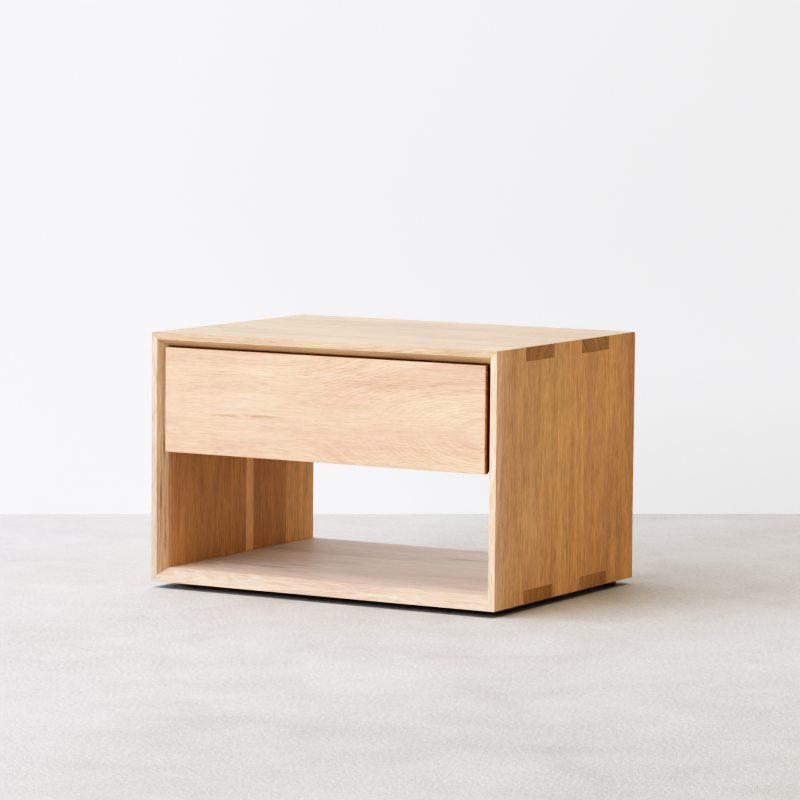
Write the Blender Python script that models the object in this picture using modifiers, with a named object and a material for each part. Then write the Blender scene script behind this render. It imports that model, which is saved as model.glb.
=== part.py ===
"""A low oak bedside table: a box of four boards with bevelled front edges, one drawer, open below.

+Z is up and the drawer opens towards -Y. The origin is on the floor, under the middle of the table.
"""

import math

import bmesh
import bpy
from mathutils import Matrix, Vector

# Driving dimensions, in metres.
WIDTH = 0.550
DEPTH = 0.410
HEIGHT = 0.360
BOARD = 0.019
FIT_GAP = 0.0003

# Case.
GLIDE_HEIGHT = 0.009
LIP = BOARD / 2
BEVEL_ANGLE = math.radians(30)
EDGE_ROUND = 0.0006
JOINT_SEGMENTS = 5
TENON_SEGMENTS = (1, 3)
BACK_THICKNESS = 0.012
BACK_HEIGHT = 0.150
BACK_RECESS = 0.004
GROOVE_DEPTH = 0.006

# Glides: the front pair stands further in than the back pair.
GLIDE_RADIUS = 0.010
GLIDE_ROUND = 0.0015
GLIDE_FROM_SIDE = 0.022
GLIDE_FROM_FRONT = 0.075
GLIDE_FROM_BACK = 0.030
GLIDE_SCREW_RECESS = 0.003

# Drawer front.
FRONT_SETBACK = 0.005
FRONT_SIDE_GAP = 0.001
FRONT_TOP_GAP = 0.0017
FRONT_HEIGHT = 0.1465
FRONT_ROUND = 0.0008
PULL_CHAMFER = 0.009

# Drawer box.
BOX_DEPTH = 0.350
BOX_HEIGHT = 0.110
BOX_BOARD = 0.012
BOX_ABOVE_FRONT_EDGE = 0.020
BOX_SEGMENTS = 5
BOX_ROUND = 0.0005
BOTTOM_THICKNESS = 0.006
BOTTOM_ABOVE_EDGE = 0.009
BOTTOM_IN_GROOVE = 0.006

# Telescopic slides. Depths are measured from the case side towards the drawer.
SLIDE_DEPTH = 0.0127
STEEL = 0.0012
CABINET_RAIL_HEIGHT = 0.045
CABINET_RAIL_DEPTH = 0.0105
CABINET_RAIL_LIP = 0.0033
MIDDLE_RAIL_HEIGHT = 0.036
MIDDLE_RAIL_START = 0.0030
MIDDLE_RAIL_END = 0.0112
MIDDLE_RAIL_LIP = 0.0021
DRAWER_RAIL_HEIGHT = 0.027
DRAWER_RAIL_START = 0.0060
CAGE_STEEL = 0.0006
CAGE_LENGTH = 0.150
CAGE_START = 0.100
OUTER_CAGE_START = 0.0018
OUTER_CAGE_END = 0.0085
INNER_CAGE_START = 0.0048
INNER_CAGE_END = 0.0096
BALL_RADIUS = 0.00135
BALLS_PER_ROW = 4
BALL_FROM_CAGE_END = 0.015
BALL_SEGMENTS = 8
BALL_RINGS = 6

# Countersunk screws.
SCREW_HEAD_RADIUS = 0.0035
SCREW_SHANK_RADIUS = 0.00175
SCREW_TIP = 0.002
SCREW_SIDES = 12
SCREW_RECESS_ARM = 0.0032
SCREW_RECESS_WIDTH = 0.0007
SCREW_RECESS_DEPTH = 0.0011
RAIL_SCREW_LENGTH = 0.0120
FRONT_SCREW_LENGTH = 0.0250
GLIDE_SCREW_LENGTH = 0.0160
SCREW_SINK = 0.0001
RAIL_SCREW_FRACTIONS = (0.12, 0.50, 0.88)
FRONT_SCREW_X = 0.160
FRONT_SCREW_Z = 0.035

# How far a cutter runs past what it cuts.
PAST = 0.004

# Places that follow from the dimensions.
FRONT_Y = -DEPTH / 2
BACK_Y = DEPTH / 2
CASE_BOTTOM = GLIDE_HEIGHT
SEGMENT = DEPTH / JOINT_SEGMENTS
BEVEL_DEPTH = (BOARD - LIP) / math.tan(BEVEL_ANGLE)
INNER_X = WIDTH / 2 - BOARD
INNER_TOP = HEIGHT - BOARD
INNER_BOTTOM = CASE_BOTTOM + BOARD
DRAWER_FRONT_Y = FRONT_Y + FRONT_SETBACK
DRAWER_FRONT_TOP = INNER_TOP - FRONT_TOP_GAP
DRAWER_FRONT_BOTTOM = DRAWER_FRONT_TOP - FRONT_HEIGHT
BOX_FRONT_Y = DRAWER_FRONT_Y + BOARD + FIT_GAP
BOX_BACK_Y = BOX_FRONT_Y + BOX_DEPTH
BOX_HALF_WIDTH = INNER_X - SLIDE_DEPTH - 2 * FIT_GAP
BOX_BOTTOM = DRAWER_FRONT_BOTTOM + BOX_ABOVE_FRONT_EDGE
BOX_TOP = BOX_BOTTOM + BOX_HEIGHT
SLIDE_Z = (BOX_BOTTOM + BOX_TOP) / 2
SLIDE_MIDDLE_Y = (BOX_FRONT_Y + BOX_BACK_Y) / 2
SIDES = (("left", -1), ("right", 1))


# ---------------------------------------------------------------- scene and materials

def clear_scene():
    for item in list(bpy.data.objects):
        bpy.data.objects.remove(item, do_unlink=True)


def new_collection(name):
    collection = bpy.data.collections.new(name)
    bpy.context.scene.collection.children.link(collection)
    return collection


def new_material(name, colour, roughness, metallic=0.0):
    material = bpy.data.materials.new(name)
    material.use_nodes = True
    shader = material.node_tree.nodes["Principled BSDF"]
    shader.inputs["Base Color"].default_value = (*colour, 1.0)
    shader.inputs["Roughness"].default_value = roughness
    shader.inputs["Metallic"].default_value = metallic
    return material


clear_scene()
PARTS = new_collection("bedside_table")
CUTTERS = new_collection("cutters")
OAK = new_material("oiled_oak", (0.62, 0.44, 0.27), 0.55)
PALE_OAK = new_material("pale_oak", (0.80, 0.61, 0.43), 0.55)
PLYWOOD = new_material("birch_plywood", (0.75, 0.60, 0.42), 0.60)
ZINC = new_material("zinc_plated_steel", (0.62, 0.63, 0.64), 0.35, 1.0)
BALL_STEEL = new_material("bearing_steel", (0.70, 0.71, 0.72), 0.20, 1.0)
NYLON = new_material("dark_nylon", (0.05, 0.045, 0.04), 0.60)


# ---------------------------------------------------------------- helpers

def new_empty(name, location):
    """An empty on a moving body's slide axis, to which the body's pieces are parented."""
    empty = bpy.data.objects.new(name, None)
    empty.location = location
    PARTS.objects.link(empty)
    return empty


def new_part(name, mesh, material, parent, location):
    """A sub-part with its own material, placed in the table's frame under its parent."""
    part = bpy.data.objects.new(name, mesh)
    if not mesh.materials:
        mesh.materials.append(material)
    PARTS.objects.link(part)
    part.parent = parent
    part.location = Vector(location) - parent.location
    return part


def new_cutter(name, mesh):
    cutter = bpy.data.objects.new(name, mesh)
    CUTTERS.objects.link(cutter)
    cutter.hide_render = True
    cutter.display_type = "WIRE"
    return cutter


def mesh_of(name, shape):
    mesh = bpy.data.meshes.new(name)
    shape.to_mesh(mesh)
    shape.free()
    return mesh


def add_box(shape, low, high, turn=None):
    """Adds a box between two corners to a bmesh, turned about its own middle if asked."""
    size = Vector(high) - Vector(low)
    middle = (Vector(high) + Vector(low)) / 2
    scale = Matrix.Diagonal((*size, 1.0))
    matrix = Matrix.Translation(middle) @ (turn or Matrix()) @ scale
    return bmesh.ops.create_cube(shape, size=1.0, matrix=matrix)["verts"]


def box_part(name, low, high, material, parent):
    """A board or plate: a box whose origin is its own middle."""
    size = Vector(high) - Vector(low)
    shape = bmesh.new()
    add_box(shape, -size / 2, size / 2)
    middle = (Vector(high) + Vector(low)) / 2
    return new_part(name, mesh_of(name, shape), material, parent, middle)


def box_cutter(name, boxes):
    """One cutter made of separate boxes, each given by its two corners."""
    shape = bmesh.new()
    for low, high in boxes:
        add_box(shape, low, high)
    return new_cutter(name, mesh_of(name, shape))


def boolean(part, cutter, operation="DIFFERENCE"):
    modifier = part.modifiers.new(cutter.name, "BOOLEAN")
    modifier.operation = operation
    modifier.solver = "EXACT"
    modifier.object = cutter


def round_edges(part, width, segments=1):
    modifier = part.modifiers.new("rounded_edges", "BEVEL")
    modifier.width = width
    modifier.segments = segments
    modifier.limit_method = "ANGLE"


def grown(low, high, by):
    """The two corners of a box moved outwards on every side."""
    step = Vector((by, by, by))
    return Vector(low) - step, Vector(high) + step


def turned_mesh(name, profile, sides):
    """A solid of revolution about Z from a profile of (radius, height) points, top to bottom."""
    shape = bmesh.new()
    points = [shape.verts.new((radius, 0.0, height)) for radius, height in profile]
    for first, second in zip(points, points[1:]):
        shape.edges.new((first, second))
    source = bpy.data.objects.new(name, mesh_of(name, shape))
    CUTTERS.objects.link(source)
    turn = source.modifiers.new("turn", "SCREW")
    turn.steps = sides
    turn.render_steps = sides
    turn.use_merge_vertices = True
    turn.merge_threshold = 0.00001
    mesh = applied_mesh(source, name)
    bpy.data.objects.remove(source, do_unlink=True)
    return mesh


def applied_mesh(source, name):
    """The object's mesh with its modifiers applied."""
    depsgraph = bpy.context.evaluated_depsgraph_get()
    depsgraph.update()
    mesh = bpy.data.meshes.new_from_object(source.evaluated_get(depsgraph))
    mesh.name = name
    return mesh


# ---------------------------------------------------------------- screws

def screw_profile(length, grow=0.0, pocket=0.0):
    """Countersunk screw, head up. grow widens it into its hole, pocket lengthens the head's side."""
    cone = SCREW_HEAD_RADIUS - SCREW_SHANK_RADIUS
    head = SCREW_HEAD_RADIUS + grow
    shank = SCREW_SHANK_RADIUS + grow
    return [
        (0.0, pocket),
        (head, pocket),
        (head, -grow),
        (shank, -cone - grow),
        (shank, -length + SCREW_TIP),
        (0.0, -length - grow),
    ]


def screw_mesh(name, length):
    """A countersunk screw with a cross recess in its head."""
    body = new_cutter(name, turned_mesh(name, screw_profile(length), SCREW_SIDES))
    shape = bmesh.new()
    half = SCREW_RECESS_WIDTH / 2
    add_box(shape, (-SCREW_RECESS_ARM / 2, -half, -SCREW_RECESS_DEPTH), (SCREW_RECESS_ARM / 2, half, PAST))
    slot = new_cutter(name + "_slot", mesh_of(name + "_slot", shape))
    cross = new_cutter(name + "_cross_slot", slot.data)
    cross.rotation_euler.z = math.radians(90)
    boolean(body, slot)
    boolean(body, cross)
    mesh = applied_mesh(body, name)
    for spent in (body, slot, cross):
        bpy.data.objects.remove(spent, do_unlink=True)
    mesh.materials.append(ZINC)
    return mesh


class ScrewKind:
    """A length of screw: the mesh its copies share, and the mesh that drills its hole."""

    def __init__(self, name, length, pocket=PAST):
        self.mesh = screw_mesh(name, length)
        hole = screw_profile(length, grow=FIT_GAP, pocket=pocket)
        self.hole = turned_mesh(name + "_hole", hole, SCREW_SIDES)


def facing(direction):
    """The rotation that turns +Z, the way a screw's head looks, to the given direction."""
    return Vector((0, 0, 1)).rotation_difference(Vector(direction))


def add_screws(prefix, kind, places, direction, pieces, parent):
    """Puts a screw at each place and drills its hole through the pieces it holds together."""
    shape = bmesh.new()
    turn = facing(direction).to_matrix().to_4x4()
    for number, place in enumerate(places, start=1):
        head = Vector(place) - Vector(direction) * SCREW_SINK
        screw = new_part(f"{prefix}_{number}", kind.mesh, ZINC, parent, head)
        screw.rotation_mode = "QUATERNION"
        screw.rotation_quaternion = facing(direction)
        drill = kind.hole.copy()
        drill.transform(Matrix.Translation(head) @ turn)
        shape.from_mesh(drill)
        bpy.data.meshes.remove(drill)
    holes = new_cutter(prefix + "_holes", mesh_of(prefix + "_holes", shape))
    for piece in pieces:
        boolean(piece, holes)


# ---------------------------------------------------------------- case

def envelope_cutter():
    """The whole case as one block with slightly rounded edges; each board is kept inside it."""
    low = (-WIDTH / 2, FRONT_Y, CASE_BOTTOM)
    high = (WIDTH / 2, BACK_Y, HEIGHT)
    envelope = box_cutter("case_envelope", [(low, high)])
    round_edges(envelope, EDGE_ROUND, segments=2)
    return envelope


def opening_bevel_cutter():
    """A block that widens towards the front, and bevels the inner front edge of all four boards."""
    slope = math.tan(BEVEL_ANGLE)
    middle_z = (INNER_TOP + INNER_BOTTOM) / 2
    shape = bmesh.new()
    half_height = (INNER_TOP - INNER_BOTTOM) / 2
    back_y = FRONT_Y + BEVEL_DEPTH + PAST
    front_y = FRONT_Y - PAST
    for corner in add_box(shape, (-1, front_y, -1), (1, back_y, 1)):
        outward = (FRONT_Y + BEVEL_DEPTH - corner.co.y) * slope
        corner.co.x = math.copysign(INNER_X + outward, corner.co.x)
        corner.co.z = middle_z + math.copysign(half_height + outward, corner.co.z)
    return new_cutter("opening_bevel", mesh_of("opening_bevel", shape))


def segment_span(number, grow):
    """Front and back of one segment of the corner joint; the outer two run past the board."""
    front = FRONT_Y + number * SEGMENT - grow
    back = FRONT_Y + (number + 1) * SEGMENT + grow
    if number == 0:
        front = FRONT_Y - PAST
    if number == JOINT_SEGMENTS - 1:
        back = BACK_Y + PAST
    return front, back


def add_mitre(shape, side, level, spans, towards_side):
    """Adds blocks with one face on the mitre plane of a corner, over the given stretches of its length.

    side is -1 or 1 for left or right, level is -1 or 1 for the bottom or top corner. The blocks lie on
    the side panel's part of the corner, or on the horizontal board's part.
    """
    corner_z = HEIGHT if level > 0 else CASE_BOTTOM
    middle = Vector((side * (WIDTH / 2 - BOARD / 2), 0.0, corner_z - level * BOARD / 2))
    normal = Vector((side, 0.0, -level)).normalized()
    if not towards_side:
        normal = -normal
    size = 2 * BOARD
    centre = middle + normal * (size / 2 - FIT_GAP / 2)
    turn = Matrix.Rotation(math.radians(45), 4, "Y")
    for front, back in spans:
        low = (centre.x - size / 2, front, centre.z - size / 2)
        high = (centre.x + size / 2, back, centre.z + size / 2)
        add_box(shape, low, high, turn)


def mitre_spans():
    return [
        segment_span(number, FIT_GAP / 2)
        for number in range(JOINT_SEGMENTS)
        if number not in TENON_SEGMENTS
    ]


def horizontal_board(name, level, empty):
    """Top or bottom board: mitred at its ends, apart from its through tenons."""
    low_z = INNER_TOP if level > 0 else CASE_BOTTOM - PAST
    high_z = HEIGHT + PAST if level > 0 else INNER_BOTTOM
    low = (-WIDTH / 2 - PAST, FRONT_Y - PAST, low_z)
    high = (WIDTH / 2 + PAST, BACK_Y + PAST, high_z)
    board = box_part(name, low, high, OAK, empty)
    shape = bmesh.new()
    for side in (-1, 1):
        add_mitre(shape, side, level, mitre_spans(), towards_side=True)
    boolean(board, new_cutter(name + "_mitres", mesh_of(name + "_mitres", shape)))
    return board


def side_board(name, side, empty):
    """Upright board: mitred along both ends, and notched for the tenons."""
    inner = side * INNER_X
    outer = side * (WIDTH / 2 + PAST)
    low = (min(inner, outer), FRONT_Y - PAST, CASE_BOTTOM - PAST)
    high = (max(inner, outer), BACK_Y + PAST, HEIGHT + PAST)
    board = box_part(name, low, high, OAK, empty)
    shape = bmesh.new()
    whole = [(FRONT_Y - 2 * PAST, BACK_Y + 2 * PAST)]
    for level in (-1, 1):
        add_mitre(shape, side, level, whole, towards_side=False)
    boolean(board, new_cutter(name + "_mitres", mesh_of(name + "_mitres", shape)))
    heights = (
        (CASE_BOTTOM - 2 * PAST, INNER_BOTTOM + FIT_GAP),
        (INNER_TOP - FIT_GAP, HEIGHT + 2 * PAST),
    )
    notches = []
    for number in TENON_SEGMENTS:
        front, back = segment_span(number, FIT_GAP / 2)
        for low_z, high_z in heights:
            notches.append(((low[0] - PAST, front, low_z), (high[0] + PAST, back, high_z)))
    boolean(board, box_cutter(name + "_notches", notches))
    return board


def back_panel_corners():
    low = (-INNER_X - GROOVE_DEPTH, BACK_Y - BACK_RECESS - BACK_THICKNESS, INNER_TOP - BACK_HEIGHT)
    high = (INNER_X + GROOVE_DEPTH, BACK_Y - BACK_RECESS, INNER_TOP + GROOVE_DEPTH)
    return low, high


def build_case(empty):
    """The four boards, and the back panel in its grooves."""
    boards = {
        "top": horizontal_board("top_panel", 1, empty),
        "bottom": horizontal_board("bottom_panel", -1, empty),
        "left": side_board("left_side_panel", -1, empty),
        "right": side_board("right_side_panel", 1, empty),
    }
    bevel = opening_bevel_cutter()
    envelope = envelope_cutter()
    low, high = back_panel_corners()
    groove = box_cutter("back_panel_groove", [grown(low, high, FIT_GAP)])
    for board in boards.values():
        boolean(board, bevel)
        boolean(board, envelope, "INTERSECT")
    for place in ("top", "left", "right"):
        boolean(boards[place], groove)
    back = box_part("back_panel", low, high, PLYWOOD, empty)
    round_edges(back, BOX_ROUND)
    return boards


def build_glides(empty, bottom_board, screw):
    """Four round glides, each with a screw up into the bottom board."""
    profile = [
        (0.0, 0.0),
        (GLIDE_RADIUS, 0.0),
        (GLIDE_RADIUS, -GLIDE_HEIGHT + FIT_GAP + GLIDE_ROUND),
        (GLIDE_RADIUS - GLIDE_ROUND, -GLIDE_HEIGHT + FIT_GAP),
        (0.0, -GLIDE_HEIGHT + FIT_GAP),
    ]
    mesh = turned_mesh("glide", profile, 2 * SCREW_SIDES)
    x = WIDTH / 2 - GLIDE_FROM_SIDE
    rows = (("front", FRONT_Y + GLIDE_FROM_FRONT), ("back", BACK_Y - GLIDE_FROM_BACK))
    for row, y in rows:
        for side, sign in SIDES:
            name = f"{row}_{side}_glide"
            top = (sign * x, y, CASE_BOTTOM - FIT_GAP)
            glide = new_part(name, mesh.copy(), NYLON, empty, top)
            head = [(sign * x, y, GLIDE_SCREW_RECESS)]
            add_screws(name + "_screw", screw, head, (0, 0, -1), (glide, bottom_board), empty)


# ---------------------------------------------------------------- drawer

def build_drawer_front(empty):
    """The drawer's front board, chamfered behind its lower edge where the fingers pull."""
    half_width = INNER_X - FRONT_SIDE_GAP
    low = (-half_width, DRAWER_FRONT_Y, DRAWER_FRONT_BOTTOM)
    high = (half_width, DRAWER_FRONT_Y + BOARD, DRAWER_FRONT_TOP)
    front = box_part("drawer_front", low, high, PALE_OAK, empty)
    size = 2 * PULL_CHAMFER
    middle = Vector((0.0, high[1], low[2]))
    block = (Vector((-WIDTH / 2, -size / 2, -size / 2)), Vector((WIDTH / 2, size / 2, size / 2)))
    shape = bmesh.new()
    inward = Vector((0.0, -1.0, 1.0)).normalized()
    centre = middle + inward * (PULL_CHAMFER / math.sqrt(2) - size / 2)
    add_box(shape, centre + block[0], centre + block[1], Matrix.Rotation(math.radians(45), 4, "X"))
    boolean(front, new_cutter("pull_chamfer", mesh_of("pull_chamfer", shape)))
    round_edges(front, FRONT_ROUND, segments=2)
    return front


def finger_spans(numbers):
    """Bottom and top of the chosen fingers of the drawer's corner joints, widened by half the gap."""
    height = BOX_HEIGHT / BOX_SEGMENTS
    spans = []
    for number in numbers:
        low = BOX_BOTTOM + number * height - FIT_GAP / 2
        high = BOX_BOTTOM + (number + 1) * height + FIT_GAP / 2
        if number == 0:
            low -= PAST
        if number == BOX_SEGMENTS - 1:
            high += PAST
        spans.append((low, high))
    return spans


def corner_notches(numbers, inner_x, outer_x, inner_y):
    """Boxes that cut the given fingers out of a board at the two ends named by inner_x and inner_y."""
    boxes = []
    for low_z, high_z in finger_spans(numbers):
        for sign in (-1, 1):
            xs = sorted((sign * inner_x, sign * outer_x))
            for from_y, to_y in inner_y:
                boxes.append(((xs[0], from_y, low_z), (xs[1], to_y, high_z)))
    return boxes


def build_drawer_box(empty):
    """Four finger-jointed boards round a thin bottom that sits in a groove."""
    inner_x = BOX_HALF_WIDTH - BOX_BOARD
    odd = range(0, BOX_SEGMENTS, 2)
    even = range(1, BOX_SEGMENTS, 2)
    ends = ((BOX_FRONT_Y, BOX_FRONT_Y + BOX_BOARD), (BOX_BACK_Y - BOX_BOARD, BOX_BACK_Y))
    boards = {}
    for name, (near, far) in zip(("front", "back"), ends):
        low = (-BOX_HALF_WIDTH, near, BOX_BOTTOM)
        high = (BOX_HALF_WIDTH, far, BOX_TOP)
        boards[name] = box_part(f"drawer_box_{name}", low, high, OAK, empty)
    for name, sign in SIDES:
        xs = sorted((sign * inner_x, sign * BOX_HALF_WIDTH))
        low = (xs[0], BOX_FRONT_Y, BOX_BOTTOM)
        high = (xs[1], BOX_BACK_Y, BOX_TOP)
        boards[name] = box_part(f"drawer_box_{name}_side", low, high, OAK, empty)
    whole = [(BOX_FRONT_Y - PAST, BOX_BACK_Y + PAST)]
    cross_cut = corner_notches(odd, inner_x - FIT_GAP, BOX_HALF_WIDTH + PAST, whole)
    end_cut = corner_notches(even, inner_x - PAST, BOX_HALF_WIDTH + PAST, [
        (BOX_FRONT_Y - PAST, BOX_FRONT_Y + BOX_BOARD + FIT_GAP),
        (BOX_BACK_Y - BOX_BOARD - FIT_GAP, BOX_BACK_Y + PAST),
    ])
    cross_cutter = box_cutter("box_front_and_back_fingers", cross_cut)
    end_cutter = box_cutter("box_side_fingers", end_cut)
    bottom_x = inner_x + BOTTOM_IN_GROOVE
    bottom_z = BOX_BOTTOM + BOTTOM_ABOVE_EDGE
    low = (-bottom_x, BOX_FRONT_Y + BOX_BOARD - BOTTOM_IN_GROOVE, bottom_z)
    high = (bottom_x, BOX_BACK_Y - BOX_BOARD + BOTTOM_IN_GROOVE, bottom_z + BOTTOM_THICKNESS)
    groove = box_cutter("drawer_bottom_groove", [grown(low, high, FIT_GAP)])
    for name, board in boards.items():
        boolean(board, cross_cutter if name in ("front", "back") else end_cutter)
        boolean(board, groove)
    box_part("drawer_bottom", low, high, PLYWOOD, empty)
    return boards


def fix_drawer_front(empty, front, box_front, screw):
    """Four screws from inside the drawer box into the back of the drawer front."""
    places = [
        (x, BOX_FRONT_Y + BOX_BOARD, SLIDE_Z + z)
        for x in (-FRONT_SCREW_X, FRONT_SCREW_X)
        for z in (-FRONT_SCREW_Z, FRONT_SCREW_Z)
    ]
    add_screws("drawer_front_screw", screw, places, (0, 1, 0), (box_front, front), empty)


# ---------------------------------------------------------------- slides

def rail_mesh(name, profile, length, thickness):
    """A bent strip: the profile's (depth, height) points, drawn out along Y and given a thickness."""
    shape = bmesh.new()
    points = [shape.verts.new((depth, -length / 2, height)) for depth, height in profile]
    edges = [shape.edges.new(pair) for pair in zip(points, points[1:])]
    drawn = bmesh.ops.extrude_edge_only(shape, edges=edges)["geom"]
    moved = [item for item in drawn if isinstance(item, bmesh.types.BMVert)]
    bmesh.ops.translate(shape, verts=moved, vec=(0.0, length, 0.0))
    strip = new_cutter(name, mesh_of(name, shape))
    wall = strip.modifiers.new("wall", "SOLIDIFY")
    wall.thickness = thickness
    wall.offset = -1.0
    wall.use_even_offset = True
    mesh = applied_mesh(strip, name)
    bpy.data.objects.remove(strip, do_unlink=True)
    return mesh


def channel_profile(web, edge, height, lip=0.0):
    """An upright web with a flange at the top and bottom, and a lip turned in at each flange's edge."""
    top = height / 2
    points = [(edge, top), (web, top), (web, -top), (edge, -top)]
    if lip:
        points = [(edge, top - lip)] + points + [(edge, -top + lip)]
    return points


def mirrored(profile, sign):
    """The profile for the left or the right side, in the order that turns its faces outwards."""
    points = [(-sign * depth, height) for depth, height in profile]
    return points if sign < 0 else points[::-1]


def add_rail(name, side, profile, parent, length=BOX_DEPTH, start=0.0, thickness=STEEL):
    """Places a bent strip along the slide, start being its distance from the slide's front end."""
    facing_out = mirrored(profile, side)
    mesh = rail_mesh(name, facing_out, length, thickness)
    centre = (side * (INNER_X - FIT_GAP), BOX_FRONT_Y + start + length / 2, SLIDE_Z)
    return new_part(name, mesh, ZINC, parent, centre)


def add_ball_cage(name, side, web, edge, row_height, parent):
    """A thin retainer with a row of balls above and one below."""
    profile = channel_profile(web, edge, 2 * row_height + CAGE_STEEL)
    cage = add_rail(name, side, profile, parent, CAGE_LENGTH, CAGE_START, CAGE_STEEL)
    shape = bmesh.new()
    pitch = (CAGE_LENGTH - 2 * BALL_FROM_CAGE_END) / (BALLS_PER_ROW - 1)
    ball_x = side * (INNER_X - FIT_GAP) - side * (edge - BALL_RADIUS - CAGE_STEEL)
    for number in range(BALLS_PER_ROW):
        y = BOX_FRONT_Y + CAGE_START + BALL_FROM_CAGE_END + number * pitch
        for z in (-row_height, row_height):
            bmesh.ops.create_uvsphere(
                shape,
                u_segments=BALL_SEGMENTS,
                v_segments=BALL_RINGS,
                radius=BALL_RADIUS,
                matrix=Matrix.Translation((ball_x, y, SLIDE_Z + z)),
            )
    balls = new_cutter(name + "_balls", mesh_of(name + "_balls", shape))
    balls.data.materials.append(BALL_STEEL)
    boolean(cage, balls, "UNION")
    return cage


def rail_screw_places(side, depth):
    x = side * (INNER_X - FIT_GAP - depth)
    return [(x, BOX_FRONT_Y + fraction * BOX_DEPTH, SLIDE_Z) for fraction in RAIL_SCREW_FRACTIONS]


def build_slide(name, side, case, drawer, case_side, box_side, screw):
    """One telescopic slide: three nested rails, a ball cage between each two, and the screws."""
    middle_place = (side * INNER_X, SLIDE_MIDDLE_Y, SLIDE_Z)
    middle = new_empty(f"{name}_middle_rail_slide", middle_place)
    outer_cage = new_empty(f"{name}_outer_cage_slide", middle_place)
    inner_cage = new_empty(f"{name}_inner_cage_slide", middle_place)

    profile = channel_profile(0.0, CABINET_RAIL_DEPTH, CABINET_RAIL_HEIGHT, CABINET_RAIL_LIP)
    cabinet_rail = add_rail(f"{name}_cabinet_rail", side, profile, case)
    profile = channel_profile(MIDDLE_RAIL_START, MIDDLE_RAIL_END, MIDDLE_RAIL_HEIGHT, MIDDLE_RAIL_LIP)
    add_rail(f"{name}_middle_rail", side, profile, middle)
    profile = channel_profile(SLIDE_DEPTH, DRAWER_RAIL_START, DRAWER_RAIL_HEIGHT)
    drawer_rail = add_rail(f"{name}_drawer_rail", side, profile[::-1], drawer)

    outer_row = (CABINET_RAIL_HEIGHT / 2 - STEEL + MIDDLE_RAIL_HEIGHT / 2) / 2
    add_ball_cage(f"{name}_outer_ball_cage", side, OUTER_CAGE_START, OUTER_CAGE_END, outer_row, outer_cage)
    inner_row = (MIDDLE_RAIL_HEIGHT / 2 - STEEL + DRAWER_RAIL_HEIGHT / 2) / 2
    add_ball_cage(f"{name}_inner_ball_cage", side, INNER_CAGE_START, INNER_CAGE_END, inner_row, inner_cage)

    towards_drawer = (-side, 0, 0)
    places = rail_screw_places(side, STEEL)
    add_screws(f"{name}_cabinet_rail_screw", screw, places, towards_drawer, (cabinet_rail, case_side), case)
    towards_case = (side, 0, 0)
    places = rail_screw_places(side, SLIDE_DEPTH - STEEL)
    add_screws(f"{name}_drawer_rail_screw", screw, places, towards_case, (drawer_rail, box_side), drawer)


# ---------------------------------------------------------------- the table

def build_table():
    case = new_empty("case", (0.0, 0.0, 0.0))
    drawer = new_empty("drawer_slide", (0.0, DRAWER_FRONT_Y, SLIDE_Z))
    rail_screw = ScrewKind("rail_screw", RAIL_SCREW_LENGTH)
    front_screw = ScrewKind("front_screw", FRONT_SCREW_LENGTH)
    glide_screw = ScrewKind("glide_screw", GLIDE_SCREW_LENGTH)

    boards = build_case(case)
    build_glides(case, boards["bottom"], glide_screw)
    front = build_drawer_front(drawer)
    box = build_drawer_box(drawer)
    fix_drawer_front(drawer, front, box["front"], front_screw)
    for name, side in SIDES:
        build_slide(name, side, case, drawer, boards[name], box[name], rail_screw)


build_table()
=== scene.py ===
"""Looks of the oak bedside table: materials, daylight, floor, wall and camera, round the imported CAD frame."""

import math
from collections import namedtuple

import bmesh
import bpy
from mathutils import Matrix, Vector


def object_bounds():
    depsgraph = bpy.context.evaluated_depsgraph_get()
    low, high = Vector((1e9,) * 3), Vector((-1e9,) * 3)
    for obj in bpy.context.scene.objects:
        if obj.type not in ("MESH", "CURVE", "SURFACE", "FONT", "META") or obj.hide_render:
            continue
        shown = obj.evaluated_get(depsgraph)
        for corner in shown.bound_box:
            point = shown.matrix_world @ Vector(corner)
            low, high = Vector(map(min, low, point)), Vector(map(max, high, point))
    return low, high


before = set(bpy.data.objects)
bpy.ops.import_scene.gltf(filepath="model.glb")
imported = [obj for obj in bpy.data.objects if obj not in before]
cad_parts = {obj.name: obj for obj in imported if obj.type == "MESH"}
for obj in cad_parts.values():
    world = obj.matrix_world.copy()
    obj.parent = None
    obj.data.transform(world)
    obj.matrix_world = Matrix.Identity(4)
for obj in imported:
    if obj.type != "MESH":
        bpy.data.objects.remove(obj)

CAD_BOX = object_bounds()

# Camera, found by fitting the table's corners; angles in degrees, lengths in metres.
CAMERA_PLACE = (2.9031, -5.0450, 0.8210)
CAMERA_TURN = 29.844
CAMERA_DOWN = 5.469
CAMERA_ROLL = 0.505
LENS_MM = 186.6
SENSOR_MM = 36.0

# Room: the wall stands behind the table, nearly square to the view.
WALL_TURN = 33.96
WALL_BEHIND = 0.825
WALL_HALF_WIDTH = 9.0
WALL_HEIGHT = 5.0
FLOOR_HALF_WIDTH = 14.0

# The wall's own soft light: its strength at the floor, and from WASH_HEIGHT up.
WALL_WASH = 0.45
LOW_WALL_WASH = 0.58
WASH_HEIGHT = 0.5

# Painted shadow: the floor under the case is darker, so that the gap below the case looks black.
# Painted shade: the floor also darkens a little towards NEAR_WAY, to the front right, between the
# two places NEAR_FROM and NEAR_TO.
FOOTPRINT = CAD_BOX[1][:2]
FOOTPRINT_EDGE = 0.006
FOOTPRINT_PAINTED_SHADOW = (0.40, 0.41, 0.52)
NEAR_WAY = (0.8, -0.6)
NEAR_FROM = 0.6
NEAR_TO = 1.3
NEAR_PAINTED_SHADE = 0.88

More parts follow.
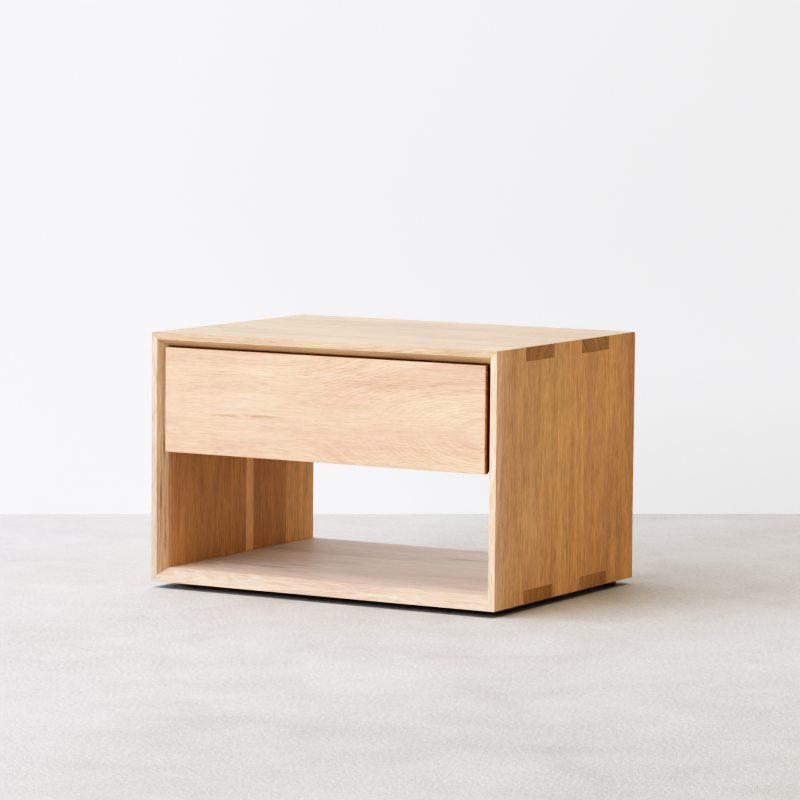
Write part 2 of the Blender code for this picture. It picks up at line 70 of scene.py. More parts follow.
# Soft light: a large window at the front left, warm light thrown back from the right, and the sky.
# A lamp is aimed at the origin; turn and rise give the direction in which it lies.
Lamp = namedtuple("Lamp", "name turn rise distance size power colour")
LAMPS = (
    Lamp("window", -27.0, 20.0, 6.0, (7.0, 1.8), 715.0, (0.965, 0.985, 1.025)),
    Lamp("skylight", -40.0, 62.0, 4.0, (3.0, 3.0), 116.0, (0.99, 0.985, 1.0)),
    Lamp("warm_return", 80.0, 35.0, 5.0, (3.0, 1.2), 60.0, (1.0, 0.60, 0.16)),
)
SKY_COLOUR = (0.97, 0.98, 1.0)
SKY_STRENGTH = 0.54

# The picture's response to light is film-like: display = 1 - exp(-density (light / wall)^power), so
# highlights roll off and shadows deepen, a little more in green and blue. Wall is a white wall's light.
# The curves are drawn through the lights in CURVE_STEPS and end at CURVE_LIMIT.
CURVE_LIMIT = 8.0
CURVE_WALL = 1.89
CURVE_DENSITY = 2.44
CURVE_POWERS = (1.40, 1.43, 1.58)
CURVE_STEPS = (
    0.0, 0.05, 0.1, 0.2, 0.3, 0.45, 0.6, 0.8, 1.0,
    1.25, 1.5, 1.8, 2.2, 2.7, 3.4, 4.5, 6.0, CURVE_LIMIT,
)


# ---------------------------------------------------------------- nodes

class Nodes:
    """A node tree with short calls for the nodes used here. An input takes a socket or a plain value."""

    def __init__(self, tree):
        self.tree = tree
        tree.nodes.clear()

    def add(self, kind, **settings):
        node = self.tree.nodes.new(kind)
        for name, value in settings.items():
            setattr(node, name, value)
        return node

    def feed(self, socket, value):
        if isinstance(value, bpy.types.NodeSocket):
            self.tree.links.new(value, socket)
        else:
            socket.default_value = value

    def math(self, operation, *values):
        node = self.add("ShaderNodeMath", operation=operation)
        for socket, value in zip(node.inputs, values):
            self.feed(socket, value)
        return node.outputs[0]

    def plus(self, first, *others):
        for other in others:
            first = self.math("ADD", first, other)
        return first

    def times(self, first, *others):
        for other in others:
            first = self.math("MULTIPLY", first, other)
        return first

    def length(self, *parts):
        squares = [self.math("MULTIPLY", part, part) for part in parts]
        return self.math("SQRT", self.plus(*squares))

    def vector(self, x, y, z):
        node = self.add("ShaderNodeCombineXYZ")
        for socket, value in zip(node.inputs, (x, y, z)):
            self.feed(socket, value)
        return node.outputs[0]

    def split(self, vector):
        node = self.add("ShaderNodeSeparateXYZ")
        self.feed(node.inputs[0], vector)
        return node.outputs

    def noise(self, vector, scale=1.0, detail=2.0, roughness=0.5, distortion=0.0):
        """Noise from 0 to 1, in the middle most of the time."""
        node = self.add("ShaderNodeTexNoise")
        self.feed(node.inputs["Vector"], vector)
        node.inputs["Scale"].default_value = scale
        node.inputs["Detail"].default_value = detail
        node.inputs["Roughness"].default_value = roughness
        node.inputs["Distortion"].default_value = distortion
        return node.outputs["Fac"]

    def remap(self, value, low, high, to_low=0.0, to_high=1.0, kind="LINEAR"):
        """The value moved from low..high to to_low..to_high, and held at both ends."""
        node = self.add("ShaderNodeMapRange", interpolation_type=kind, clamp=True)
        numbers = {"From Min": low, "From Max": high, "To Min": to_low, "To Max": to_high}
        for name, number in numbers.items():
            node.inputs[name].default_value = number
        self.feed(node.inputs["Value"], value)
        return node.outputs[0]

    def step(self, value, low, high, to_low=0.0, to_high=1.0):
        """The same as remap, with an eased start and end."""
        return self.remap(value, low, high, to_low, to_high, "SMOOTHSTEP")

    def ramp(self, factor, stops, interpolation="LINEAR"):
        """A colour ramp through the stops, each a place from 0 to 1 and a colour."""
        node = self.add("ShaderNodeValToRGB")
        node.color_ramp.interpolation = interpolation
        elements = node.color_ramp.elements
        while len(elements) < len(stops):
            elements.new(1.0)
        stops = tuple(stops) + (stops[-1],) * (len(elements) - len(stops))
        for element, (place, colour) in zip(elements, stops):
            element.position = place
            element.color = (*colour, 1.0)
        self.feed(node.inputs[0], factor)
        return node.outputs[0]

    def mix(self, factor, first, second, blend="MIX"):
        node = self.add("ShaderNodeMix", data_type="RGBA", blend_type=blend)
        self.feed(node.inputs[0], factor)
        for socket, value in zip(node.inputs[6:8], (first, second)):
            plain = not isinstance(value, bpy.types.NodeSocket)
            self.feed(socket, (*value, 1.0) if plain else value)
        return node.outputs[2]

    def tinted(self, colour, tint):
        return self.mix(1.0, colour, tint, "MULTIPLY")

    def grey(self, value):
        """A colour that has the value in all three channels."""
        node = self.add("ShaderNodeCombineColor")
        for socket in node.inputs:
            self.feed(socket, value)
        return node.outputs[0]

    def places(self, output="Object"):
        """The three parts of a texture coordinate, by the names of their axes."""
        coordinates = self.add("ShaderNodeTexCoord")
        return dict(zip("XYZ", self.split(coordinates.outputs[output])))

    def bump(self, height, distance):
        node = self.add("ShaderNodeBump")
        node.inputs["Distance"].default_value = distance
        self.feed(node.inputs["Height"], height)
        return node.outputs[0]

    def shader(self, colour, roughness, normal=None, **constants):
        """A Principled shader as the material's surface; constants are set on its own sockets."""
        node = self.add("ShaderNodeBsdfPrincipled")
        self.feed(node.inputs["Base Color"], colour)
        self.feed(node.inputs["Roughness"], roughness)
        if normal is not None:
            self.feed(node.inputs["Normal"], normal)
        for name, value in constants.items():
            node.inputs[name.replace("_", " ")].default_value = value
        output = self.add("ShaderNodeOutputMaterial")
        self.tree.links.new(node.outputs[0], output.inputs[0])
        return node


def new_material(name):
    material = bpy.data.materials.new(name)
    material.use_nodes = True
    return material, Nodes(material.node_tree)


# ---------------------------------------------------------------- oak

# A stave runs from its edge across the board to the next one's. Its rings turn about the tree's
# middle, which lies at across, depth below the board's face. Tone brightens or darkens it.
Stave = namedtuple("Stave", "edge tone across depth")

# A knot or dark streak: its place along and across the board, its half length and half width.
Knot = namedtuple("Knot", "along across length width")

# along, across and through name the board's axes and face is where its shown face lies. Bend is where
# along the board the tree's middle begins and ends to come nearer, and by how much. The tints lie across
# the board, each with its place. Haze is how much its open grain looks whitish, and dashes is how much
# the short dark lines of its pores show.
Board = namedtuple("Board", "along across through face bend tints haze dashes staves knots")

# Colours of the wood, and how much of the early wood's and the pores' colours shows.
EARLY_WOOD = (0.50, 0.262, 0.125)
PORE = (0.30, 0.135, 0.055)
KNOT_WOOD = (0.31, 0.175, 0.095)
PINK_WOOD = (0.698, 0.412, 0.260)
YELLOW_WOOD = (0.682, 0.430, 0.260)
END_GRAIN = (0.58, 0.44, 0.215)
EARLY_SHARE = 0.42
PORE_SHARE = 0.60

# The oiled surface.
OAK_IOR = 1.5
HAZE_ROUGHNESS = 0.3
PORE_DEPTH = 0.00012

# A ramp holds places and colours from 0 up, so places across a board are moved up by ACROSS_REACH, and
# the staves of a board lie within STAVE_SPAN.
ACROSS_REACH = 0.5
STAVE_SPAN = 0.5

# RING_WIDTH is one year's growth. The rings wander and ripple by up to half of the two lengths below,
# and a knot pushes them outwards. The noise that tells good years from poor ones changes fast across
# the rings and slowly along the board, and streaks follow only a part of the wandering.
RING_WIDTH = 0.0031
WANDER_REACH = 0.045
RIPPLE_REACH = 0.0055
KNOT_PUSH = 0.008
YEARS_ACROSS = 150.0
YEARS_ALONG = 3.0
STREAK_WANDER = 0.25

# The wood's noises: how fine they are along and across the grain, in turns per metre.
Grain = namedtuple("Grain", "along across detail roughness")
WANDER = Grain(2.5, 7.0, 2.0, 0.5)
RIPPLE = Grain(9.0, 45.0, 3.0, 0.5)
STREAK = Grain(3.0, 110.0, 5.0, 0.7)
FIBRE = Grain(26.0, 440.0, 4.0, 0.75)
PORES = Grain(60.0, 700.0, 2.0, 0.5)
DASH = Grain(45.0, 300.0, 3.0, 0.7)
CLOUD = Grain(4.0, 14.0, 3.0, 0.5)

# How light the wood is where a noise is low, and where it is high.
Swing = namedtuple("Swing", "low high low_light high_light")
STREAK_LIGHT = Swing(0.25, 0.75, 0.88, 1.11)
FIBRE_LIGHT = Swing(0.25, 0.75, 0.79, 1.20)
YEARS_LIGHT = Swing(0.25, 0.75, 0.72, 1.25)
CLOUD_LIGHT = Swing(0.3, 0.7, 0.86, 1.12)
END_EARLY_LIGHT = Swing(0.0, 1.0, 1.08, 0.74)
END_YEARS_LIGHT = Swing(0.35, 0.65, 0.72, 1.32)

RIGHT_STAVES = (
    Stave(-0.210, 1.14, -0.36, 0.10),
    Stave(-0.1885, 1.02, -0.36, 0.10),
    Stave(-0.142, 1.02, -0.10, 0.05),
    Stave(-0.029, 1.08, 0.20, 0.09),
    Stave(0.049, 1.05, -0.16, 0.07),
    Stave(0.150, 0.95, 0.42, 0.04),
)
LEFT_STAVES = (
    Stave(-0.210, 0.74, -0.36, 0.10),
    Stave(-0.2044, 0.92, -0.36, 0.10),
    Stave(-0.1885, 1.06, -0.36, 0.10),
    Stave(-0.148, 0.97, -0.08, 0.05),
    Stave(-0.026, 1.04, 0.12, 0.09),
    Stave(0.0158, 1.72, -0.20, 0.05),
    Stave(0.0350, 0.95, 0.36, 0.07),
    Stave(0.126, 1.30, 0.01, 0.11),
)
TOP_STAVES = (
    Stave(-0.210, 1.02, -0.18, 0.05),
    Stave(-0.135, 0.99, -0.02, 0.07),
    Stave(-0.052, 0.97, 0.12, 0.06),
    Stave(0.034, 0.93, -0.06, 0.09),
    Stave(0.118, 0.96, 0.30, 0.05),
)
BOTTOM_STAVES = (
    Stave(-0.210, 1.03, -0.14, 0.06),
    Stave(-0.128, 0.95, -0.30, 0.05),
    Stave(-0.041, 1.02, 0.00, 0.08),
    Stave(0.052, 0.97, 0.22, 0.07),
    Stave(0.139, 1.02, 0.10, 0.09),
)
FRONT_STAVES = (Stave(0.180, 1.00, 0.240, 0.100),)
BOX_STAVES = (Stave(0.200, 1.00, 0.15, 0.06), Stave(0.268, 0.95, 0.36, 0.05))

TOP_KNOTS = (
    Knot(-0.168, 0.121, 0.036, 0.0120),
    Knot(-0.225, 0.100, 0.045, 0.0045),
    Knot(-0.020, 0.020, 0.060, 0.0035),
    Knot(0.130, -0.150, 0.060, 0.0035),
)
BOTTOM_KNOTS = (
    Knot(-0.195, -0.100, 0.040, 0.010),
    Knot(-0.140, -0.104, 0.050, 0.012),
    Knot(-0.085, -0.128, 0.040, 0.008),
    Knot(-0.110, -0.066, 0.040, 0.010),
    Knot(-0.067, -0.011, 0.036, 0.012),
    Knot(0.056, 0.109, 0.050, 0.014),
    Knot(0.205, -0.146, 0.030, 0.010),
)
LEFT_KNOTS = (
    Knot(0.130, -0.1995, 0.080, 0.0024),
    Knot(0.190, -0.1955, 0.050, 0.0018),
    Knot(0.075, -0.1935, 0.045, 0.0022),
)
FRONT_KNOTS = (
    Knot(-0.0944, 0.2506, 0.045, 0.0034),
    Knot(-0.155, 0.2490, 0.040, 0.0024),
)

# Tints, each a place across the board and a colour that the wood's colour is multiplied by.
PLAIN = ((0.0, (1.0, 1.0, 1.0)),)
ROSY = ((0.0, (1.03, 0.965, 1.10)),)
TOPSIDE = (
    (-0.2045, (0.80, 0.80, 0.88)),
    (-0.196, (0.90, 0.97, 1.02)),
)
GREYISH = (
    (-0.2048, (0.94, 1.00, 1.22)),
    (-0.2035, (0.98, 1.09, 1.46)),
    (-0.188, (0.98, 1.12, 1.54)),
    (-0.130, (0.84, 1.07, 1.64)),
)
# On the side boards, the first tint, at the front edge, is paler and bluer: a painted highlight on the lit
# front lip. The more orange tints behind it are partly the wood's own tone and partly painted shade on the
# shaded faces.
LEFT_SIDE = (
    (-0.195, (1.10, 1.26, 1.54)),
    (-0.178, (0.96, 0.87, 0.74)),
    (0.012, (0.95, 0.82, 0.58)),
    (0.017, (0.93, 0.98, 0.86)),
    (0.034, (0.93, 0.98, 0.86)),
    (0.038, (0.94, 0.77, 0.47)),
    (0.120, (0.94, 0.77, 0.47)),
    (0.130, (0.95, 0.84, 0.62)),
)
RIGHT_SIDE = (
    (-0.195, (1.06, 1.09, 1.28)),
    (-0.178, (0.94, 0.89, 0.84)),
    (-0.050, (0.94, 0.84, 0.65)),
    (0.190, (0.92, 0.75, 0.50)),
)

BOARDS = {
    "top_panel": Board(
        along="X", across="Y", through="Z", face=0.360, bend=(-0.1, 0.3, 0.03),
        tints=TOPSIDE, haze=0.16, dashes=0.06, staves=TOP_STAVES, knots=TOP_KNOTS,
    ),
    "bottom_panel": Board(
        along="X", across="Y", through="Z", face=0.028, bend=(-0.3, 0.1, 0.03),
        tints=GREYISH, haze=0.3, dashes=0.08, staves=BOTTOM_STAVES, knots=BOTTOM_KNOTS,
    ),
    "left_side_panel": Board(
        along="Z", across="Y", through="X", face=-0.256, bend=(0.0, 0.3, 0.02),
        tints=LEFT_SIDE, haze=0.0, dashes=0.12, staves=LEFT_STAVES, knots=LEFT_KNOTS,
    ),
    "right_side_panel": Board(
        along="Z", across="Y", through="X", face=0.275, bend=(0.0, 0.4, 0.03),
        tints=RIGHT_SIDE, haze=0.0, dashes=0.2, staves=RIGHT_STAVES, knots=(),
    ),
    "drawer_front": Board(
        along="X", across="Z", through="Y", face=-0.200, bend=(-0.06, 0.32, 0.075),
        tints=ROSY, haze=0.0, dashes=0.06, staves=FRONT_STAVES, knots=FRONT_KNOTS,
    ),
}
BOX_FACES = (
    ("drawer_box_front", "X", "Y", -0.181),
    ("drawer_box_back", "X", "Y", 0.169),
    ("drawer_box_left_side", "Y", "X", -0.243),
    ("drawer_box_right_side", "Y", "X", 0.243),
)
for name, along, through, face in BOX_FACES:
    BOARDS[name] = Board(
        along=along, across="Z", through=through, face=face, bend=(-0.2, 0.2, 0.03),
        tints=PLAIN, haze=0.0, dashes=0.08, staves=BOX_STAVES, knots=(),
    )

# Painted shade: the bottom board's underside, and the drawer front's edges behind a thin front arris, are
# darkened so the gaps under the case and round the drawer look black.
UNDERSIDE_PAINTED_SHADE = 0.22
GAP_PAINTED_SHADE = 0.24
GAP_SHADE_FROM = -0.1945
GAP_SHADE_EDGE = 0.0005


def board_axes(nodes, board):
    """The place in the board, in metres: along its grain, across it and through it, and how it faces."""
    place = nodes.places("Object")
    facing = nodes.places("Normal")
    axes = (board.along, board.across, board.through)
    return [place[axis] for axis in axes], [facing[axis] for axis in axes]


def stave_values(nodes, across, staves):
    """Tone, and the across and depth places of the tree's middle, for the stave at this place."""
    first = staves[0].edge
    factor = nodes.math("DIVIDE", nodes.math("SUBTRACT", across, first), STAVE_SPAN)
    stops = []
    for stave in staves:
        values = (stave.tone, stave.across + ACROSS_REACH, stave.depth)
        stops.append(((stave.edge - first) / STAVE_SPAN, values))
    tone, middle, depth = nodes.split(nodes.ramp(factor, stops, "CONSTANT"))
    return tone, nodes.math("SUBTRACT", middle, ACROSS_REACH), depth


def grain_noise(nodes, spot, grain, seed):
    """Noise that is stretched along the grain."""
    along, across, through = spot
    run = nodes.plus(nodes.times(along, grain.along), seed)
    place = nodes.vector(run, nodes.times(across, grain.across), nodes.times(through, grain.across))
    return nodes.noise(place, detail=grain.detail, roughness=grain.roughness)


def knot_field(nodes, along, across, knots):
    """How near the place is to a knot, from 0 to 1."""
    total = 0.0
    for knot in knots:
        away_along = nodes.math("DIVIDE", nodes.math("SUBTRACT", along, knot.along), knot.length)
        away_across = nodes.math("DIVIDE", nodes.math("SUBTRACT", across, knot.across), knot.width)
        near = nodes.step(nodes.length(away_along, away_across), 1.0, 0.25)
        total = nodes.math("MAXIMUM", total, near)
    return total


def growth_rings(nodes, board, spot, middle, depth, knots, seed):
    """Each year's porous early wood, the broad light and dark years, and how far the grain wanders.

    Where the rings lie flat in the face, their lines are too wide apart to show, and fade out."""
    along, across, through = spot
    wander_noise = grain_noise(nodes, spot, WANDER, seed)
    wander = nodes.times(nodes.math("SUBTRACT", wander_noise, 0.5), WANDER_REACH)
    ripple_noise = grain_noise(nodes, spot, RIPPLE, seed)
    ripple = nodes.times(nodes.math("SUBTRACT", ripple_noise, 0.5), RIPPLE_REACH)
    start, end, drop = board.bend
    nearer = nodes.step(along, start, end, 0.0, drop)
    sideways = nodes.plus(nodes.math("SUBTRACT", across, middle), wander)
    into = nodes.math("SUBTRACT", through, board.face)
    below = nodes.plus(nodes.math("SUBTRACT", depth, nearer), into)
    radius = nodes.plus(nodes.length(sideways, below), ripple, nodes.times(knots, KNOT_PUSH))
    ring = nodes.math("FRACT", nodes.math("DIVIDE", radius, RING_WIDTH))
    in_years = nodes.vector(nodes.times(radius, YEARS_ACROSS), nodes.times(along, YEARS_ALONG), seed)
    years = nodes.noise(in_years, detail=4.0, roughness=0.7)
    early = nodes.times(nodes.step(ring, 0.62, 0.0), nodes.step(ring, 0.0, 0.08))
    crossed = nodes.math("DIVIDE", nodes.math("ABSOLUTE", sideways), radius)
    clear = nodes.step(crossed, 0.10, 0.65, 0.12, 1.0)
    early = nodes.times(early, nodes.remap(years, 0.35, 0.65, 0.2, 1.3), clear)
    broad = nodes.plus(0.5, nodes.times(nodes.math("SUBTRACT", years, 0.5), clear))
    return early, broad, wander


def oak_material(name, board):
    """Solid oak with growth rings, streaks, fibres, pores and knots, from its place in the tree."""
    material, nodes = new_material("oak_" + name)
    spot, facing = board_axes(nodes, board)
    along, across, through = spot
    tone, middle, depth = stave_values(nodes, across, board.staves)
    seed = nodes.times(nodes.plus(middle, tone), 17.0)
    knots = knot_field(nodes, along, across, board.knots)
    early, years, wander = growth_rings(nodes, board, spot, middle, depth, knots, seed)

    # Streaks, fibres and pores are long and thin along the grain, and wander with it.
    wandered = (along, nodes.plus(across, nodes.times(wander, STREAK_WANDER)), through)
    streak = grain_noise(nodes, wandered, STREAK, seed)
    fibre = grain_noise(nodes, wandered, FIBRE, seed)
    dash = grain_noise(nodes, wandered, DASH, seed)
    cloud = grain_noise(nodes, spot, CLOUD, seed)
    pore_noise = grain_noise(nodes, wandered, PORES, seed)
    pore = nodes.times(nodes.step(pore_noise, 0.53, 0.66), nodes.remap(early, 0.0, 1.0, 0.25, 1.0))

    # Colour: the wood's own, how light it is, and the board's tint or, at its ends, end grain; then painted
    # shade in the gaps.
    hue = nodes.mix(nodes.step(cloud, 0.38, 0.62), PINK_WOOD, YELLOW_WOOD)
    colour = nodes.mix(nodes.times(early, EARLY_SHARE), hue, EARLY_WOOD)
    colour = nodes.mix(nodes.times(pore, PORE_SHARE), colour, PORE)
    knot_share = nodes.times(knots, nodes.remap(fibre, 0.35, 0.65, 0.9, 0.15))
    colour = nodes.mix(knot_share, colour, KNOT_WOOD)
    dash_light = Swing(0.3, 0.7, 1.0 - board.dashes, 1.0 + board.dashes)
    light = nodes.times(
        tone,
        nodes.remap(streak, *STREAK_LIGHT),
        nodes.remap(fibre, *FIBRE_LIGHT),
        nodes.remap(years, *YEARS_LIGHT),
        nodes.remap(cloud, *CLOUD_LIGHT),
        nodes.remap(dash, *dash_light),
    )
    colour = nodes.tinted(colour, nodes.grey(light))
    end = nodes.step(nodes.math("ABSOLUTE", facing[0]), 0.75, 0.95)
    colour = nodes.mix(end, side_grain(nodes, board, across, colour), end_grain(nodes, colour, early, years))
    # Painted shade on the bottom board's underside and on the drawer front's edges.
    colour = nodes.tinted(colour, nodes.grey(painted_gap_shade(nodes, name, spot, facing)))

    # Satin oil finish, a little rougher in the pores.
    roughness = nodes.plus(nodes.remap(fibre, 0.2, 0.8, 0.46, 0.56), nodes.times(pore, 0.12))
    height = nodes.math("SUBTRACT", nodes.times(fibre, 0.35), nodes.plus(pore, nodes.times(early, 0.25)))
    haze = {"Sheen_Weight": board.haze, "Sheen_Roughness": HAZE_ROUGHNESS}
    nodes.shader(colour, roughness, nodes.bump(height, PORE_DEPTH), IOR=OAK_IOR, **haze)
    return material


def side_grain(nodes, board, across, colour):
    """The wood's colour on a board's faces and edges, with the board's tints."""
    tints = [(place + ACROSS_REACH, tint) for place, tint in board.tints]
    return nodes.tinted(colour, nodes.ramp(nodes.plus(across, ACROSS_REACH), tints))


def end_grain(nodes, colour, early, years):
    """The wood's colour on a board's ends: darker, with its rings."""
    rings = nodes.times(nodes.remap(early, *END_EARLY_LIGHT), nodes.remap(years, *END_YEARS_LIGHT))
    return nodes.tinted(nodes.tinted(colour, END_GRAIN), nodes.grey(rings))


def painted_gap_shade(nodes, name, spot, facing):
    """Painted shade: how light the bottom board's underside and the drawer front's edges are made, so the gaps
    look black; 1 elsewhere.
    """
    if name == "bottom_panel":
        # Painted shade on the bottom board's underside.
        return nodes.step(facing[2], -0.9, -0.6, UNDERSIDE_PAINTED_SHADE, 1.0)
    if name == "drawer_front":
        # Painted shade on the drawer front's top, bottom and end edges behind its front arris.
        edge = nodes.step(nodes.math("ABSOLUTE", facing[2]), 0.6, 0.3)
        behind = nodes.step(spot[2], GAP_SHADE_FROM - GAP_SHADE_EDGE, GAP_SHADE_FROM)
        return nodes.remap(nodes.times(edge, behind), 0.0, 1.0, 1.0, GAP_PAINTED_SHADE)
    return 1.0


# ---------------------------------------------------------------- other materials

# Colours of the veneer from its dark to its light fibres, and the steel's marks per metre: along the
# rolling and across it, and the broad blotches of the zinc.
VENEER = (
    (0.32, (0.42, 0.24, 0.12)),
    (0.52, (0.58, 0.37, 0.21)),
    (0.70, (0.66, 0.44, 0.27)),
)
ROLLED = 12.0
UNROLLED = 900.0
BLOTCHES = 90.0


def panel_material(name, along, across):
    """A thin board with an oak veneer."""
    material, nodes = new_material(name)
    place = nodes.places()
    fine = nodes.vector(nodes.times(place[along], 6.0), nodes.times(place[across], 160.0), 0.0)
    coarse = nodes.vector(nodes.times(place[along], 2.0), nodes.times(place[across], 16.0), 0.0)
    fibre = nodes.noise(fine, detail=5.0, roughness=0.65)
    broad = nodes.noise(coarse, detail=2.0)
    colour = nodes.ramp(nodes.plus(nodes.times(fibre, 0.6), nodes.times(broad, 0.4)), VENEER)
    nodes.shader(colour, nodes.remap(fibre, 0.3, 0.7, 0.45, 0.6), nodes.bump(fibre, 0.0001), IOR=1.46)
    return material


def steel_material(name, colour, roughness, rolled_along=None):
    """Zinc-plated or bright steel, with rolling marks along its length where it has any."""
    material, nodes = new_material(name)
    place = nodes.places()
    scales = {axis: ROLLED if axis == rolled_along else UNROLLED for axis in "XYZ"}
    marks = nodes.noise(nodes.vector(*(nodes.times(place[axis], scales[axis]) for axis in "XYZ")), detail=3.0)
    blotch = nodes.noise(nodes.vector(*(nodes.times(place[axis], BLOTCHES) for axis in "XYZ")), detail=4.0)
    shade = nodes.times(nodes.remap(marks, 0.3, 0.7, 0.9, 1.06), nodes.remap(blotch, 0.3, 0.7, 0.94, 1.04))
    marked = nodes.remap(marks, 0.3, 0.7, roughness - 0.05, roughness + 0.08)
    rough = nodes.plus(marked, nodes.times(blotch, 0.08))
    nodes.shader(nodes.tinted(colour, nodes.grey(shade)), rough, nodes.bump(marks, 0.00003), Metallic=1.0)
    return material


def nylon_material(name):
    """Dark moulded nylon with a fine grain."""
    material, nodes = new_material(name)
    place = nodes.add("ShaderNodeTexCoord").outputs["Object"]
    grain = nodes.noise(place, scale=1400.0, detail=3.0)
    wear = nodes.noise(place, scale=120.0, detail=4.0)
    colour = nodes.mix(nodes.step(wear, 0.45, 0.75), (0.030, 0.026, 0.023), (0.055, 0.048, 0.042))
    nodes.shader(colour, nodes.remap(grain, 0.3, 0.7, 0.5, 0.7), nodes.bump(grain, 0.00004))
    return material


def dress_cad_nodes():
    """Gives every CAD node its material, in the slots its mesh already has."""
    finishes = {name: oak_material(name, board) for name, board in BOARDS.items()}
    finishes["back_panel"] = panel_material("veneer_back", "X", "Z")
    finishes["drawer_bottom"] = panel_material("veneer_bottom", "Y", "X")
    zinc = steel_material("zinc_rail", (0.60, 0.61, 0.62), 0.32, "Y")
    bearing = steel_material("bearing_steel", (0.66, 0.66, 0.67), 0.22)
    screw = steel_material("zinc_screw", (0.58, 0.58, 0.57), 0.30)
    nylon = nylon_material("glide_nylon")
    endings = (("_rail", zinc), ("_ball_cage", bearing), ("_glide", nylon))
    for name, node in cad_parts.items():
        finish = finishes.get(name, screw)
        for ending, material in endings:
            if name.endswith(ending):
                finish = material
        for slot in node.material_slots:
            slot.material = finish


# ---------------------------------------------------------------- room

def stage_mesh(name, corners, cuts, material):
    """A flat stretch of floor or wall between four corners."""
    shape = bmesh.new()
    shape.faces.new([shape.verts.new(corner) for corner in corners])
    bmesh.ops.subdivide_edges(shape, edges=shape.edges[:], cuts=cuts, use_grid_fill=True)
    mesh = bpy.data.meshes.new(name)
    shape.to_mesh(mesh)
    shape.free()
    mesh.materials.append(material)
    piece = bpy.data.objects.new(name, mesh)
    bpy.context.scene.collection.objects.link(piece)
    return piece


# Colours of the concrete from dark to light, of the plaster, and of the plaster's own light.
CONCRETE = (
    (0.39, (0.48, 0.466, 0.478)),
    (0.50, (0.61, 0.597, 0.612)),
    (0.61, (0.71, 0.697, 0.712)),
)
PLASTER = (0.68, 0.70, 0.75, 1.0)
WASH_COLOUR = (0.97, 0.99, 1.03, 1.0)


def footprint(nodes, place):
    """1 on the floor under the case, and 0 elsewhere."""
    inside = []
    for axis, half in zip("XY", FOOTPRINT):
        inside.append(nodes.step(nodes.math("ABSOLUTE", place[axis]), half, half - FOOTPRINT_EDGE))
    return nodes.times(*inside)


def concrete_material():
    """Pale smooth concrete, faintly mottled, with painted shadow under the case and painted shade to the front
    right.
    """
    material, nodes = new_material("pale_concrete")
    spot = nodes.add("ShaderNodeTexCoord").outputs["Object"]
    patches = nodes.noise(spot, scale=1.6, detail=6.0, roughness=0.6)
    speckle = nodes.noise(spot, scale=150.0, detail=5.0, roughness=0.75)
    trowel = nodes.noise(spot, scale=9.0, detail=5.0, roughness=0.65, distortion=0.6)
    mottle = nodes.plus(nodes.times(patches, 0.30), nodes.times(trowel, 0.30), nodes.times(speckle, 0.40))
    place = nodes.places()
    # Painted shadow: the floor under the case is darker.
    under = nodes.mix(footprint(nodes, place), (1.0, 1.0, 1.0), FOOTPRINT_PAINTED_SHADOW)
    # Painted shade: the floor darkens towards the front right.
    near = nodes.plus(nodes.times(place["X"], NEAR_WAY[0]), nodes.times(place["Y"], NEAR_WAY[1]))
    shade = nodes.step(near, NEAR_FROM, NEAR_TO, 1.0, NEAR_PAINTED_SHADE)
    colour = nodes.tinted(nodes.tinted(nodes.ramp(mottle, CONCRETE), under), nodes.grey(shade))
    nodes.shader(colour, nodes.remap(trowel, 0.3, 0.7, 0.55, 0.75), nodes.bump(speckle, 0.0018))
    return material


def wall_material():
    """White plaster with a soft light of its own, that is there only for who stands in front of it."""
    material, nodes = new_material("white_wall")
    wash = nodes.remap(nodes.places()["Z"], 0.0, WASH_HEIGHT, LOW_WALL_WASH, WALL_WASH)
    shader = nodes.shader(PLASTER, 0.9, Emission_Color=WASH_COLOUR)
    nodes.feed(shader.inputs["Emission Strength"], wash)
    seen = nodes.add("ShaderNodeMixShader")
    nodes.feed(seen.inputs[0], nodes.add("ShaderNodeNewGeometry").outputs["Backfacing"])
    nodes.feed(seen.inputs[1], shader.outputs[0])
    nodes.feed(seen.inputs[2], nodes.add("ShaderNodeBsdfTransparent").outputs[0])
    output = next(node for node in nodes.tree.nodes if node.type == "OUTPUT_MATERIAL")
    nodes.feed(output.inputs[0], seen.outputs[0])
    return material


def build_room():
    half = FLOOR_HALF_WIDTH
    floor = ((-half, -half, 0.0), (half, -half, 0.0), (half, half, 0.0), (-half, half, 0.0))
    stage_mesh("floor", floor, 8, concrete_material())
    turn = Matrix.Rotation(math.radians(WALL_TURN), 3, "Z")
    corners = (
        (-WALL_HALF_WIDTH, WALL_BEHIND, 0.0),
        (WALL_HALF_WIDTH, WALL_BEHIND, 0.0),
        (WALL_HALF_WIDTH, WALL_BEHIND, WALL_HEIGHT),
        (-WALL_HALF_WIDTH, WALL_BEHIND, WALL_HEIGHT),
    )
    stage_mesh("wall", [turn @ Vector(corner) for corner in corners], 4, wall_material())


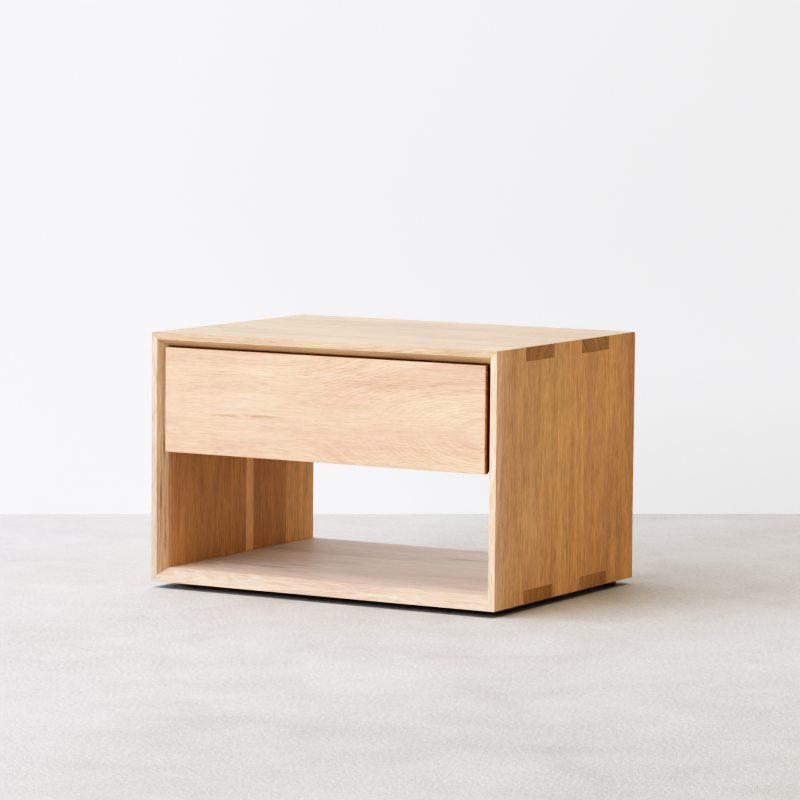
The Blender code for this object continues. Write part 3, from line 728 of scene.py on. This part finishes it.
def add_lamp(lamp):
    turn, rise = math.radians(lamp.turn), math.radians(lamp.rise)
    towards = Vector((math.sin(turn) * math.cos(rise), -math.cos(turn) * math.cos(rise), math.sin(rise)))
    data = bpy.data.lights.new(lamp.name, "AREA")
    data.shape = "RECTANGLE"
    data.size, data.size_y = lamp.size
    data.energy = lamp.power
    data.color = lamp.colour
    light = bpy.data.objects.new(lamp.name, data)
    light.location = towards * lamp.distance
    light.rotation_mode = "QUATERNION"
    light.rotation_quaternion = (-towards).to_track_quat("-Z", "Y")
    light.visible_camera = False
    bpy.context.scene.collection.objects.link(light)


def build_light():
    for lamp in LAMPS:
        add_lamp(lamp)
    world = bpy.data.worlds.new("sky")
    world.use_nodes = True
    background = world.node_tree.nodes["Background"]
    background.inputs["Color"].default_value = (*SKY_COLOUR, 1.0)
    background.inputs["Strength"].default_value = SKY_STRENGTH
    bpy.context.scene.world = world


def set_response():
    """Draws the film-like response as the view's colour curves."""
    view = bpy.context.scene.view_settings
    view.view_transform = "Standard"
    view.look = "None"
    view.use_curve_mapping = True
    mapping = view.curve_mapping
    mapping.white_level = (CURVE_LIMIT, CURVE_LIMIT, CURVE_LIMIT)
    for curve, power in zip(mapping.curves, CURVE_POWERS):
        while len(curve.points) < len(CURVE_STEPS):
            curve.points.new(0.5, 0.5)
        for point, light in zip(curve.points, CURVE_STEPS):
            density = CURVE_DENSITY * (light / CURVE_WALL) ** power
            point.location = (light / CURVE_LIMIT, 1.0 - math.exp(-density))
    mapping.update()


def build_camera():
    data = bpy.data.cameras.new("camera")
    data.lens = LENS_MM
    data.sensor_width = SENSOR_MM
    camera = bpy.data.objects.new("camera", data)
    turn = Matrix.Rotation(math.radians(CAMERA_TURN), 4, "Z")
    tilt = Matrix.Rotation(math.radians(90.0 - CAMERA_DOWN), 4, "X")
    roll = Matrix.Rotation(math.radians(CAMERA_ROLL), 4, "Z")
    camera.matrix_world = Matrix.Translation(CAMERA_PLACE) @ turn @ tilt @ roll
    bpy.context.scene.collection.objects.link(camera)
    bpy.context.scene.camera = camera


dress_cad_nodes()
build_room()
build_light()
set_response()
build_camera()
